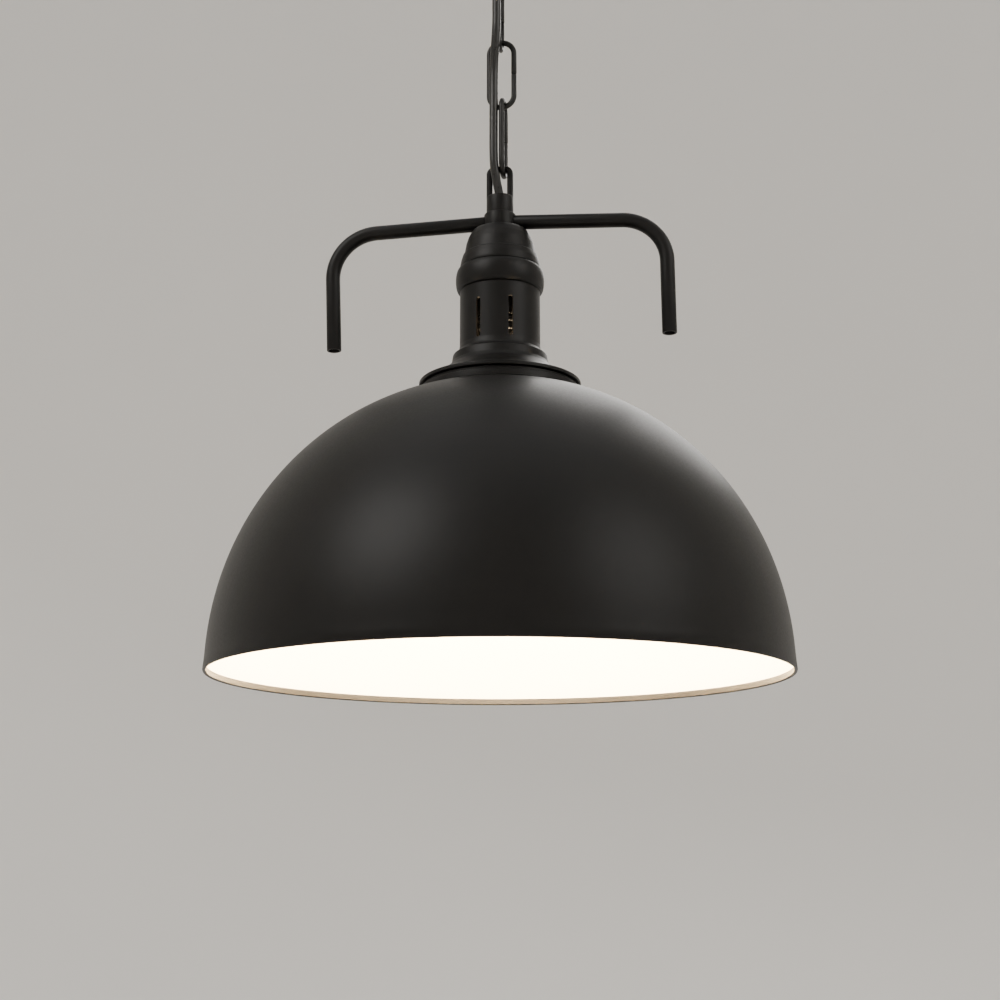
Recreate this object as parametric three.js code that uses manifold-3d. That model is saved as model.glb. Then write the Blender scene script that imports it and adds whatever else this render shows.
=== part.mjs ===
// Pendant ceiling light: a spun metal dome under a vented neck, with two bent side arms,
// hung on three chain links from a ceiling rose, with its flex woven down the chain.
// Millimetres, +Z up. The origin is the middle of the face that meets the ceiling.
import * as THREE from 'three';
import { mergeVertices } from 'three/addons/utils/BufferGeometryUtils.js';
import Module from 'manifold-3d';

const wasm = await Module();
wasm.setup();

// ---------------------------------------------------------------- driving dimensions
const GAP = 0.3;             // clearance between pieces that touch
const FIT = 0.25;            // clearance round a pin, a thread or a spigot

const WIRE = 3.55;           // chain wire diameter
const LINK_WIDTH = 19.7;     // outer width of a link
const LINK_LENGTH = 49.4;    // outer length of the two upper links
const LAST_LINK_LENGTH = 55; // outer length of the lowest link
const LINK_SEAM = 0.4;       // butt gap in each link
const LINK_SHIFT = 1.1;      // each link hangs this much further to one side, clear of the flex

const EYE_WIDTH = 17.2;      // outer width of the eye that a link goes through, and its foot
const EYE_BAR = 3.9;         // thickness of the eye's bent bar
const EYE_DEPTH = 4.4;       // the eye from front to back
const EYE_EDGE = 1.5;        // rounding of its bar's edges
const EYE_WINDOW = 17.1;     // clear height inside the eye
const EYE_CORNER = 3.4;       // centreline radius of the eye's corners
const EYE_FOOT = 11.9;       // height of the round foot
const EYE_SINK = 1;          // how far the bar's ends run down into the foot
const BORE = 7;              // way for the flex
const BORE_MOUTH = 1.5;      // chamfer where the flex enters

const NIPPLE = 10;           // threaded tube
const NIPPLE_GRIP = 7;       // how far a nipple goes into an eye's foot
const NUT_LAND = 3.1;        // a nut's corners stand this far outside its thread
const NUT_HEIGHT = 4;
const WASHER_THICK = 1;
const ROSE_WASHER_LAND = 5;  // width of metal round each washer's thread
const LOCK_WASHER_LAND = 4;
const FLEX = 5.6;            // flex diameter
const CORE = 2.2;            // insulated core diameter

const ROSE_RADIUS = 52;      // ceiling rose
const ROSE_DEPTH = 26;
const ROSE_WALL = 1.2;
const ROSE_CORNER = 9;
const ROSE_NIPPLE_RISE = 8.5; // nipple above the rose's floor
const BRACKET_WIDTH = 20;
const BRACKET_THICK = 2.5;
const BRACKET_SLOT = 5;      // width of the slots for the ceiling screws
const BRACKET_SLOT_RUN = 8;  // distance between the centres of a slot's round ends
const BRACKET_SLOT_X = 29;   // their distance from the middle
const BRACKET_EAR = 13;      // height of the ears that take the side screws
const EAR_HOLE = 5;          // side screw's axis above an ear's edge
const SIDE_SCREW = 4;
const SIDE_SCREW_HEAD = 3.6; // radius
const SIDE_SCREW_LENGTH = 9;
const SCREW_SLOT = 0.8;      // width of a driver slot
const TERMINAL = { x: 19, width: 11, length: 24, height: 9, pitch: 8 };

const HUB_LAND = 5.1;        // metal round the nipple in the hub
const HUB_RADIUS = NIPPLE / 2 + HUB_LAND;
const HUB_HEIGHT = 10.4;
const HUB_EDGE = 0.5;
const ARM_DIAMETER = 9.2;
const ARM_WALL = 1.2;
const ARM_REACH = { left: 109.2, right: 106.5 }; // centre of a leg from the lamp's axis
const ARM_BEND = 29;         // centreline radius of the bend
const ARM_DROP = 79.1;       // from the hub's centre to the end of a leg
const ARM_DROOP = { left: 1.6, right: 2.2 };   // degrees an arm falls towards its bend
const ARM_INSET = 3.8;       // how far an arm goes into the hub
const LEG_LEAN = { left: 2.2, right: -0.4 }; // degrees a leg leans towards the axis

// the lamp holder, from the bulb's screw outwards
const SHELL_RADIUS = 14;     // threaded shell, outside
const SHELL_WALL = 0.7;
const SHELL_LENGTH = 26;
const SHELL_REST = 2;        // room above and below the shell in its socket
const HOLDER_WALL = 5.75;    // ceramic round the shell
const HOLDER_RADIUS = SHELL_RADIUS + FIT + HOLDER_WALL;
const HOLDER_TOP = 20.4;     // terminal cover height
const HOLDER_BODY = 36;
const COVER_WALL = 2;
const COVER_GRIP = 6;        // how far the nipple goes into the cover
const TERMINAL_INSET = 8;    // holder screws' axes from the holder's outside
const HOLDER_SCREW = { radius: 2.6, height: 2.4 };
const CONTACT = { width: 4, length: 5, spring: 0.6, depth: 1.6 };
const BULB_CAP_RADIUS = SHELL_RADIUS - SHELL_WALL - GAP;
const BULB_CAP_WALL = 1;
const BULB_CAP_LENGTH = 25;
const BULB_TIP = 2;
const BULB_RADIUS = 30;
const BULB_LENGTH = 82;      // glass only
const BULB_GLASS = 1;
const BULB_RISE = 28.6;      // end of the glass above the spigot's end

const HOLDER_ROOM = 3.6;     // air round the holder inside the neck
const NECK_WALL = 1.6;
const NECK_RADIUS = HOLDER_RADIUS + HOLDER_ROOM + NECK_WALL;
const NECK_HEIGHT = 77.3;    // bead to the flange's underside
const CAP_STEP = 0.1;        // cap proud of the neck
const CAP_RADIUS = NECK_RADIUS + CAP_STEP;
const CAP_HEIGHT = 26.4;
const CAP_TAPER = 7.3;       // how much narrower the cap is at its top
const CAP_TOP_RADIUS = CAP_RADIUS - CAP_TAPER;
const CAP_WALL = 1.4;
const CAP_SPIGOT = 9;        // skirt of the cap inside the neck
const BEAD_STAND = 2.7;      // rolled bead round the neck's top
const BEAD_HEIGHT = 15.2;
const FLANGE_STAND = 25.1;
const FLANGE_RADIUS = NECK_RADIUS + FLANGE_STAND;
const FLANGE_RIM = 2.2;
const FLARE_HEIGHT = 26.5;   // from the flange's underside to where the neck is straight
const SLOT_WIDTH = 3;
const SLOT_LENGTH = 25.8;
const SLOT_TOP = 25;         // from the neck's top edge down to a slot
const SLOT_ANGLE = 23.65;    // degrees of each slot from the front or the back
const SEAT_HEIGHT = 6.1;     // ring between the flange and the dome, at its outer edge
const SEAT_INSET = 0.2;      // its outer edge inside the flange's
const SEAT_GROOVE = 1.6;     // depth of the groove under the flange
const SPIGOT_STEP = 2.1;     // threaded spigot through the dome, proud of the neck
const SPIGOT_RADIUS = NECK_RADIUS + SPIGOT_STEP;
const SPIGOT_LENGTH = 11.5;

const DOME_RADIUS = 174.3;
const DOME_HEIGHT = 180;
const DOME_FULLNESS = 2.05;  // exponent of the profile, 2 would be an ellipse
const DOME_FLARE = 0.7;      // the last stretch opens by this much
const DOME_FLARE_HEIGHT = 11;
const DOME_WALL = 1.2;
const HEM_WALL = 2.2;
const HEM_HEIGHT = 4;
const DOME_PLAY = 0.5;       // clearance of the dome's hole round the spigot
const DOME_HOLE = SPIGOT_RADIUS + DOME_PLAY;

const RING_NUT_LAND = 10.7;  // width of the ring nut round the spigot
const RING_NUT_RADIUS = SPIGOT_RADIUS + RING_NUT_LAND;
const RING_NUT_HEIGHT = 6.5;
const RING_NUT_NOTCH = { width: 5, depth: 3 };

// facets along each bend, enough for the swept pieces to clear each other
const BEND_STEPS = { link: 10, eye: 6, arm: 7 };

// ---------------------------------------------------------------- shared shape helpers
// A closed mesh with shared corners and its faces pointing out.
function sealed(geometry) {
  geometry.deleteAttribute('normal');
  geometry.deleteAttribute('uv');
  const merged = mergeVertices(geometry, 1e-4);
  const p = merged.attributes.position;
  const index = [];
  for (let i = 0; i < merged.index.count; i += 3) {
    const [a, b, c] = [0, 1, 2].map((k) => merged.index.getX(i + k));
    if (a !== b && b !== c && c !== a) index.push(a, b, c);
  }
  const corner = (i) => new THREE.Vector3().fromBufferAttribute(p, i);
  let volume = 0;
  for (let i = 0; i < index.length; i += 3) {
    const [a, b, c] = [0, 1, 2].map((k) => corner(index[i + k]));
    volume += a.dot(b.cross(c));
  }
  if (volume < 0) index.reverse();
  merged.setIndex(index);
  return merged;
}

function solid(geometry) {
  const g = sealed(geometry.clone());
  return new wasm.Manifold(new wasm.Mesh({
    numProp: 3,
    vertProperties: new Float32Array(g.attributes.position.array),
    triVerts: new Uint32Array(g.index.array),
  }));
}

function fromSolid(manifold) {
  const mesh = manifold.getMesh();
  const g = new THREE.BufferGeometry();
  g.setAttribute('position', new THREE.BufferAttribute(mesh.vertProperties, 3));
  g.setIndex(Array.from(mesh.triVerts));
  return g;
}

// A profile of [radius, z] points turned about Z; it closes on itself or ends on the axis.
function turned(profile, sides) {
  const closes = profile[0][0] > 0;
  const points = profile.map(([r, z]) => new THREE.Vector2(r, z));
  if (closes) points.push(points[0].clone());
  return sealed(new THREE.LatheGeometry(points, sides).rotateX(Math.PI / 2));
}

const arc = (cx, cz, radius, from, to, steps) => Array.from({ length: steps + 1 }, (_, i) => {
  const a = THREE.MathUtils.degToRad(from + ((to - from) * i) / steps);
  return [cx + radius * Math.cos(a), cz + radius * Math.sin(a)];
});

function cylinder(radius, z0, z1, sides = 24, x = 0, y = 0) {
  const g = new THREE.CylinderGeometry(radius, radius, z1 - z0, sides).rotateX(Math.PI / 2);
  return g.translate(x, y, (z0 + z1) / 2);
}

function ring(outer, inner, z0, z1, sides) {
  return turned([[inner, z0], [outer, z0], [outer, z1], [inner, z1]], sides);
}

function box(x0, x1, y0, y1, z0, z1) {
  const g = new THREE.BoxGeometry(x1 - x0, y1 - y0, z1 - z0);
  return g.translate((x0 + x1) / 2, (y0 + y1) / 2, (z0 + z1) / 2);
}

// A round section as a polygon of nearly the same area, with an optional round hole.
function circle(radius, sides, hole = 0) {
  const fuller = 1 / Math.sqrt(Math.cos(Math.PI / sides));
  const outline = (r) => Array.from({ length: sides }, (_, i) => {
    const a = ((i + 0.5) / sides) * Math.PI * 2;
    return new THREE.Vector2(r * fuller * Math.cos(a), r * fuller * Math.sin(a));
  });
  const shape = new THREE.Shape(outline(radius));
  if (hole) shape.holes.push(new THREE.Path(outline(hole).reverse()));
  return shape;
}

function swept(section, curve, steps = curve.steps) {
  return sealed(new THREE.ExtrudeGeometry(section, { steps, extrudePath: curve }));
}

// A curve of straight and round stretches in the XZ plane, each [length, turn in degrees].
// A straight stretch is swept in one step and a bend in several.
class BentCurve extends THREE.Curve {
  constructor([x, z], heading, stretches, bendSteps) {
    super();
    this.stretches = [];
    this.steps = 0;
    let at = { x, z, a: heading };
    for (const [length, turn] of stretches) {
      const bend = THREE.MathUtils.degToRad(turn) / length;
      const stretch = { ...at, length, bend, first: this.steps, steps: turn ? bendSteps : 1 };
      this.stretches.push(stretch);
      this.steps += stretch.steps;
      at = BentCurve.along(stretch, 1);
    }
  }
  static along({ x, z, a, length, bend }, share) {
    const s = length * share;
    const end = a + bend * s;
    if (!bend) return { x: x + s * Math.cos(a), z: z + s * Math.sin(a), a };
    return {
      x: x + (Math.sin(end) - Math.sin(a)) / bend,
      z: z - (Math.cos(end) - Math.cos(a)) / bend,
      a: end,
    };
  }
  at(u) {
    const step = u * this.steps;
    const stretch = this.stretches.findLast((p) => step >= p.first);
    return BentCurve.along(stretch, (step - stretch.first) / stretch.steps);
  }
  getPointAt(u, target = new THREE.Vector3()) {
    const { x, z } = this.at(u);
    return target.set(x, 0, z);
  }
  getTangentAt(u, target = new THREE.Vector3()) {
    const { a } = this.at(u);
    return target.set(Math.cos(a), 0, Math.sin(a));
  }
}

const paint = (color, roughness, metalness) =>
  new THREE.MeshStandardMaterial({ color, roughness, metalness });
const BLACK = paint(0x0b0b0c, 0.38, 0.2);
const STEEL = paint(0xb9bcc0, 0.35, 1);
const BLACK_STEEL = paint(0x141415, 0.42, 0.6);
const WHITE = paint(0xf3ede0, 0.4, 0);
const CERAMIC = paint(0x171615, 0.3, 0);
const BRASS = paint(0xc09a4a, 0.3, 1);
const GLASS = paint(0xfff3dc, 0.25, 0);
const FLEX_SHEATH = paint(0x121212, 0.6, 0);
const LIVE = paint(0x5a3018, 0.5, 0);
const NEUTRAL = paint(0x1f4f9c, 0.5, 0);
const EARTH = paint(0x4f8f2e, 0.5, 0);

const model = new THREE.Group();
function add(parent, name, geometry, material) {
  const mesh = new THREE.Mesh(geometry, material);
  mesh.name = name;
  parent.add(mesh);
  return mesh;
}

// ---------------------------------------------------------------- heights down the chain
const threadHole = NIPPLE / 2 + FIT;
const eyeBarToFoot = EYE_BAR / 2 + EYE_WINDOW + EYE_FOOT; // bar's centre to the foot's end
const linkRadius = (LINK_WIDTH - WIRE) / 2;
// from a link's bottom wire up to the top wire of the link that hangs in it, off its middle
const pitch = linkRadius - Math.sqrt((linkRadius - WIRE - GAP) ** 2 - LINK_SHIFT ** 2);
const zRose = -GAP - ROSE_DEPTH;                          // rose's underside
const zTopBar = zRose - GAP - eyeBarToFoot;               // bar's centre of the upper eye
const zLinks = [];                                        // [top, bottom] wire centres
for (const length of [LINK_LENGTH, LINK_LENGTH, LAST_LINK_LENGTH]) {
  const top = zLinks.length ? zLinks.at(-1)[1] + pitch : zTopBar + EYE_BAR / 2 + GAP + WIRE / 2;
  zLinks.push([top, top - (length - WIRE)]);
}
const zLampBar = zLinks[2][1] + WIRE / 2 + GAP + EYE_BAR / 2;

// ---------------------------------------------------------------- eye with its foot
// The bar's centre is at the origin, the foot below it; the flex goes up its bore.
function eye() {
  const side = (EYE_WIDTH - EYE_BAR) / 2;
  const rise = EYE_WINDOW + EYE_BAR / 2 - EYE_CORNER + EYE_SINK;
  const flat = 2 * (side - EYE_CORNER);
  const corner = (Math.PI / 2) * EYE_CORNER;
  const path = new BentCurve([-side, -EYE_WINDOW - EYE_BAR / 2 - EYE_SINK], Math.PI / 2, [
    [rise, 0], [corner, -90], [flat, 0], [corner, -90], [rise, 0],
  ], BEND_STEPS.eye);
  const [d, w] = [EYE_DEPTH / 2 - EYE_EDGE, EYE_BAR / 2 - EYE_EDGE];
  const corners = [[d, w, 0], [-d, w, 90], [-d, -w, 180], [d, -w, 270]];
  const section = new THREE.Shape(corners.flatMap(([cx, cy, from]) =>
    arc(cx, cy, EYE_EDGE, from, from + 90, 3).map(([x, y]) => new THREE.Vector2(x, y))));
  const arch = solid(swept(section, path));
  const foot0 = -eyeBarToFoot;
  const foot1 = -EYE_WINDOW - EYE_BAR / 2;
  const r = EYE_WIDTH / 2;
  const foot = solid(turned([
    [threadHole, foot0], [r, foot0], [r, foot1 - 1], [r - 1, foot1],
    [BORE / 2 + BORE_MOUTH, foot1], [BORE / 2, foot1 - BORE_MOUTH],
    [BORE / 2, foot0 + NIPPLE_GRIP + GAP], [threadHole, foot0 + NIPPLE_GRIP + GAP],
  ], 20));
  return fromSolid(foot.add(arch));
}

// ---------------------------------------------------------------- chain link
// Upright in the XZ plane, its top wire's centre at the origin, with a butt seam at one side.
function link(length) {
  const radius = linkRadius;
  const straight = length - LINK_WIDTH;
  const half = (straight - LINK_SEAM) / 2;
  const bend = Math.PI * radius;
  const path = new BentCurve([radius, -radius - half - LINK_SEAM], -Math.PI / 2, [
    [half, 0], [bend, -180], [straight, 0], [bend, -180], [half, 0],
  ], BEND_STEPS.link);
  return swept(circle(WIRE / 2, 8), path);
}

// ---------------------------------------------------------------- ceiling rose
const ceiling = new THREE.Group();
model.add(ceiling);
const roseInner = ROSE_RADIUS - ROSE_WALL;
const earX = roseInner - GAP - BRACKET_THICK;

function ceilingBracket() {
  const half = roseInner - GAP;
  const wide = BRACKET_WIDTH / 2;
  let strip = solid(box(-half, half, -wide, wide, -BRACKET_THICK, 0));
  for (const s of [-1, 1]) {
    const [x0, x1] = [earX, half].map((x) => s * x).sort((a, b) => a - b);
    strip = strip.add(solid(box(x0, x1, -wide, wide, -BRACKET_EAR, -BRACKET_THICK / 2)));
    const slot = new THREE.Shape();
    slot.absarc(BRACKET_SLOT_RUN / 2, 0, BRACKET_SLOT / 2, -Math.PI / 2, Math.PI / 2);
    slot.absarc(-BRACKET_SLOT_RUN / 2, 0, BRACKET_SLOT / 2, Math.PI / 2, Math.PI * 1.5);
    const cut = new THREE.ExtrudeGeometry(slot, {
      depth: BRACKET_THICK + 2, bevelEnabled: false, curveSegments: 6,
    });
    strip = strip.subtract(solid(cut.translate(s * BRACKET_SLOT_X, 0, -BRACKET_THICK - 1)));
    const hole = cylinder(SIDE_SCREW / 2 + FIT, -BRACKET_THICK, BRACKET_THICK, 12);
    hole.rotateY(Math.PI / 2).translate(s * (half - BRACKET_THICK / 2), 0, zSideScrew);
    strip = strip.subtract(solid(hole));
  }
  // the cut corners keep the strip's ends inside the round rose
  return fromSolid(strip.intersect(solid(cylinder(half, -BRACKET_EAR - 1, 1, 48))));
}
const zSideScrew = -BRACKET_EAR + EAR_HOLE;
add(ceiling, 'ceiling_bracket', ceilingBracket(), STEEL);

function rose() {
  const c = ROSE_CORNER;
  const r = ROSE_RADIUS;
  const bottom = zRose;
  const outer = arc(r - c, bottom + c, c, -90, 0, 3);
  const inner = arc(r - c, bottom + c, c - ROSE_WALL, 0, -90, 3);
  const cup = solid(turned([
    [threadHole, bottom], ...outer, [r, -GAP], [roseInner, -GAP], ...inner,
    [threadHole, bottom + ROSE_WALL],
  ], 40));
  const bore = cylinder(SIDE_SCREW / 2 + FIT, -ROSE_RADIUS - 2, ROSE_RADIUS + 2, 12);
  return fromSolid(cup.subtract(solid(bore.rotateY(Math.PI / 2).translate(0, 0, zSideScrew))));
}
add(ceiling, 'rose_cup', rose(), BLACK);

function sideScrew() {
  const r = SIDE_SCREW_HEAD;
  const shank = cylinder(SIDE_SCREW / 2, -SIDE_SCREW_LENGTH, 0, 12);
  const head = turned([[0, GAP], [r, GAP], [r, 1.4], [r - 1.2, 2.4], [0, 2.4]], 16);
  const slot = box(-r - 1, r + 1, -SCREW_SLOT / 2, SCREW_SLOT / 2, 1.6, 3);
  const screw = solid(shank.translate(0, 0, GAP + 0.1)).add(solid(head)).subtract(solid(slot));
  return fromSolid(screw);
}
for (const [side, s] of [['left', -1], ['right', 1]]) {
  const screw = add(ceiling, `rose_side_screw_${side}`, sideScrew(), BLACK_STEEL);
  screw.position.set(s * (ROSE_RADIUS + 0.05), 0, zSideScrew);
  screw.rotation.y = (s * Math.PI) / 2;
}

const roseFloor = zRose + ROSE_WALL;
const upperEye = add(ceiling, 'rose_eye', eye(), BLACK);
upperEye.position.z = zTopBar;
upperEye.rotation.y = Math.PI;
const roseNippleTop = roseFloor + ROSE_NIPPLE_RISE;
const washer = (land, z0) => ring(NIPPLE / 2 + land, threadHole, z0, z0 + WASHER_THICK, 20);
const nut = (z0) => fromSolid(solid(cylinder(NIPPLE / 2 + NUT_LAND, z0, z0 + NUT_HEIGHT, 6))
  .subtract(solid(cylinder(threadHole, z0 - 1, z0 + NUT_HEIGHT + 1, 20))));
const zRoseWasher = roseFloor + GAP;
add(ceiling, 'rose_nipple', ring(NIPPLE / 2, BORE / 2,
  zRose - GAP - NIPPLE_GRIP, roseNippleTop, 20), STEEL);
add(ceiling, 'rose_washer', washer(ROSE_WASHER_LAND, zRoseWasher), STEEL);
add(ceiling, 'rose_nut', nut(zRoseWasher + WASHER_THICK + GAP), STEEL);

// Three-way terminal block under the bracket, beside the nipple.
const zBlock = -BRACKET_THICK - GAP;
const blockX = TERMINAL.x - TERMINAL.width / 2;
add(ceiling, 'terminal_block', box(blockX, blockX + TERMINAL.width,
  -TERMINAL.length / 2, TERMINAL.length / 2, zBlock - TERMINAL.height, zBlock), WHITE);
const flexTop = roseNippleTop + 1;
for (const [name, row, material] of [
  ['rose_core_live', -1, LIVE], ['rose_core_earth', 0, EARTH], ['rose_core_neutral', 1, NEUTRAL],
]) {
  const y = row * TERMINAL.pitch;
  const start = new THREE.Vector3(row ? -0.7 : 1.35, row * 1.2, flexTop + GAP);
  const route = new THREE.CubicBezierCurve3(
    start,
    start.clone().add(new THREE.Vector3(0.5, 0, 4.5)),
    new THREE.Vector3(blockX - 8, y, zBlock - TERMINAL.height / 2),
    new THREE.Vector3(blockX - GAP, y, zBlock - TERMINAL.height / 2),
  );
  add(ceiling, name, swept(circle(CORE / 2, 6), route, 6), material);
}

// ---------------------------------------------------------------- chain
['link_upper', 'link_middle', 'link_lower'].forEach((name, i) => {
  const length = i === 2 ? LAST_LINK_LENGTH : LINK_LENGTH;
  const mesh = add(model, name, link(length), BLACK_STEEL);
  mesh.position.set(i * LINK_SHIFT, 0, zLinks[i][0]);
  // every second link stands across the one above it
  if (i !== 1) mesh.rotation.z = Math.PI / 2;
});

// ---------------------------------------------------------------- lamp
// Heights in here are above the dome's rim.
const lamp = new THREE.Group();
model.add(lamp);
const domeOuter = (r) => DOME_HEIGHT
  * (1 - (r / DOME_RADIUS) ** DOME_FULLNESS) ** (1 / DOME_FULLNESS);
const zSeatBottom = domeOuter(FLANGE_RADIUS) + GAP;
const zFlange = zSeatBottom + SEAT_HEIGHT + GAP;  // flange's underside
const zNeckTop = zFlange + NECK_HEIGHT;
const zCapSkirt = zNeckTop + GAP;
const zCapTop = zCapSkirt + CAP_HEIGHT;
const zHub = zCapTop + GAP;
const zHubTop = zHub + HUB_HEIGHT;
const zLowerEye = zHubTop + GAP + eyeBarToFoot;    // bar's centre
const zRim = zLampBar - zLowerEye;                 // the rim below the ceiling
const zSpigotEnd = zFlange - SPIGOT_LENGTH;
const zGlass = zSpigotEnd + BULB_RISE;             // where the glass leaves the bulb's cap
const zBulbCap = zGlass + BULB_CAP_LENGTH;         // top of the bulb's cap
const zShelf = zBulbCap + BULB_TIP + GAP + CONTACT.depth + GAP; // ceiling of the bulb's socket
const zBody = zShelf - SHELL_REST - SHELL_LENGTH;  // holder body's lower edge
const zCover = zBody + HOLDER_BODY + GAP;          // joint between cover and body
const zCoverTop = zCover + HOLDER_TOP;
const zNippleEnd = zCoverTop - COVER_GRIP;
lamp.position.z = zRim;

const lowerEye = add(lamp, 'lamp_eye', eye(), BLACK);
lowerEye.position.z = zLowerEye;

// ---- hub and side arms
const zArm = zHub + HUB_HEIGHT / 2;
function hub() {
  const r = HUB_RADIUS;
  const body = turned([
    [threadHole, zHub], [r - HUB_EDGE, zHub], [r, zHub + HUB_EDGE],
    [r, zHubTop - HUB_EDGE], [r - HUB_EDGE, zHubTop], [threadHole, zHubTop],
  ], 24);
  let part = solid(body);
  for (const s of [-1, 1]) {
    const socket = cylinder(ARM_DIAMETER / 2 + GAP, 0, r, 20).rotateY((s * Math.PI) / 2);
    socket.translate(s * (r - ARM_INSET - GAP), 0, zArm);
    part = part.subtract(solid(socket));
  }
  return fromSolid(part);
}
add(lamp, 'arm_hub', hub(), BLACK);

for (const [side, s] of [['left', -1], ['right', 1]]) {
  const droop = THREE.MathUtils.degToRad(ARM_DROOP[side]);
  const turn = 90 - ARM_DROOP[side] + LEG_LEAN[side];
  const start = HUB_RADIUS - ARM_INSET;
  const bar = ARM_REACH[side] - ARM_BEND - start;
  const leg = ARM_DROP - ARM_BEND - bar * Math.sin(droop);
  const path = new BentCurve([start, 0], -droop, [
    [bar / Math.cos(droop), 0], [ARM_BEND * THREE.MathUtils.degToRad(turn), -turn], [leg, 0],
  ], BEND_STEPS.arm);
  const arm = add(lamp, `arm_${side}`,
    swept(circle(ARM_DIAMETER / 2, 12, ARM_DIAMETER / 2 - ARM_WALL), path), BLACK);
  arm.position.z = zArm;
  arm.rotation.z = s < 0 ? Math.PI : 0;
}

// ---- nipple down through the hub and the cap
add(lamp, 'stem_nipple', ring(NIPPLE / 2, BORE / 2,
  zNippleEnd, zHubTop + GAP + NIPPLE_GRIP, 20), STEEL);

// ---- cap
function cap() {
  const [r, t, w] = [CAP_RADIUS, CAP_TOP_RADIUS, CAP_WALL];
  const spigot = NECK_RADIUS - NECK_WALL - FIT;
  const outer = [
    [r, zCapSkirt], [r, zCapSkirt + 1.5], [r - 0.6, zCapSkirt + 5], [r - 1.7, zCapSkirt + 8.8],
    [r - 2.6, zCapSkirt + 9.4], [r - 3.9, zCapSkirt + 16.5], [r - 5.2, zCapSkirt + 20.6],
    [t + 0.5, zCapTop - 2.6], [t - 0.6, zCapTop - 1.1], [t - 3, zCapTop],
  ];
  const inner = [
    [t - 3.6, zCapTop - w], [r - 5.2 - w, zCapSkirt + 19.6], [r - 3.9 - w, zCapSkirt + 15],
    [spigot - w, zCapSkirt + 7],
  ];
  return turned([
    [spigot - w, zCapSkirt - CAP_SPIGOT], [spigot, zCapSkirt - CAP_SPIGOT], [spigot, zCapSkirt],
    ...outer, [threadHole, zCapTop], [threadHole, zCapTop - w], ...inner,
  ], 32);
}
add(lamp, 'neck_cap', cap(), BLACK);
const zLockWasher = zCapTop - CAP_WALL - GAP - WASHER_THICK;
add(lamp, 'lock_washer', washer(LOCK_WASHER_LAND, zLockWasher), STEEL);
add(lamp, 'lock_nut', nut(zLockWasher - GAP - NUT_HEIGHT), STEEL);

// ---- vented neck with its bead, flare and flange, in one casting
function neck() {
  const n = NECK_RADIUS;
  const inner = n - NECK_WALL;
  const zBead = zNeckTop - BEAD_HEIGHT;
  const [f, step] = [FLANGE_RADIUS, zFlange + FLANGE_RIM];
  const mid = (zNeckTop + zBead) / 2;
  const bead = [-50, 0, 50].map((a) => [
    n + BEAD_STAND * Math.cos(THREE.MathUtils.degToRad(a)),
    mid + (BEAD_HEIGHT / 2) * Math.sin(THREE.MathUtils.degToRad(a)),
  ]);
  const flare = [
    [f, zFlange], [f, step], [f - 2.6, step + 1.2], [f - 6.5, step + 2.6],
    [f - 13, step + 6], [f - 18.6, step + 10.6],
    [n + 5, step + 13], [n + 4.2, step + 18], [n + 1.4, step + 19.6], [n + 0.5, step + 21],
    [n, zFlange + FLARE_HEIGHT],
  ];
  let part = solid(turned([
    [inner, zSpigotEnd], [SPIGOT_RADIUS, zSpigotEnd],
    [SPIGOT_RADIUS, zFlange], ...flare, [n, zBead], ...bead, [n, zNeckTop], [inner, zNeckTop],
  ], 32));
  for (const front of [-90, 90]) {
    for (const s of [-1, 1]) {
      const outline = new THREE.Shape();
      const [w, l] = [SLOT_WIDTH / 2, SLOT_LENGTH / 2 - SLOT_WIDTH / 2];
      outline.absarc(0, l, w, 0, Math.PI);
      outline.absarc(0, -l, w, Math.PI, Math.PI * 2);
      const cut = new THREE.ExtrudeGeometry(outline, {
        depth: n / 2, bevelEnabled: false, curveSegments: 4,
      });
      cut.rotateX(Math.PI / 2).rotateZ(Math.PI);
      cut.translate(0, n * 0.75, 0);
      cut.rotateZ(THREE.MathUtils.degToRad(front - 90 + s * SLOT_ANGLE));
      cut.translate(0, 0, zNeckTop - SLOT_TOP - SLOT_LENGTH / 2);
      part = part.subtract(solid(cut));
    }
  }
  return fromSolid(part);
}
add(lamp, 'vented_neck', neck(), BLACK);

// ---- seat ring under the flange, its underside shaped to the dome
const seatRadii = [FLANGE_RADIUS - SEAT_INSET, SPIGOT_RADIUS + FIT];
const seatMiddle = (seatRadii[0] + seatRadii[1]) / 2;
const seatTop = zFlange - GAP;
add(lamp, 'seat_ring', turned([
  ...[seatRadii[0], seatMiddle, seatRadii[1]].map((r) => [r, domeOuter(r) + GAP]),
  [seatRadii[1], seatTop], [seatRadii[0] - SEAT_GROOVE, seatTop],
  [seatRadii[0] - SEAT_GROOVE, seatTop - 1.8], [seatRadii[0], seatTop - 2.4],
], 36), BLACK);

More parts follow.
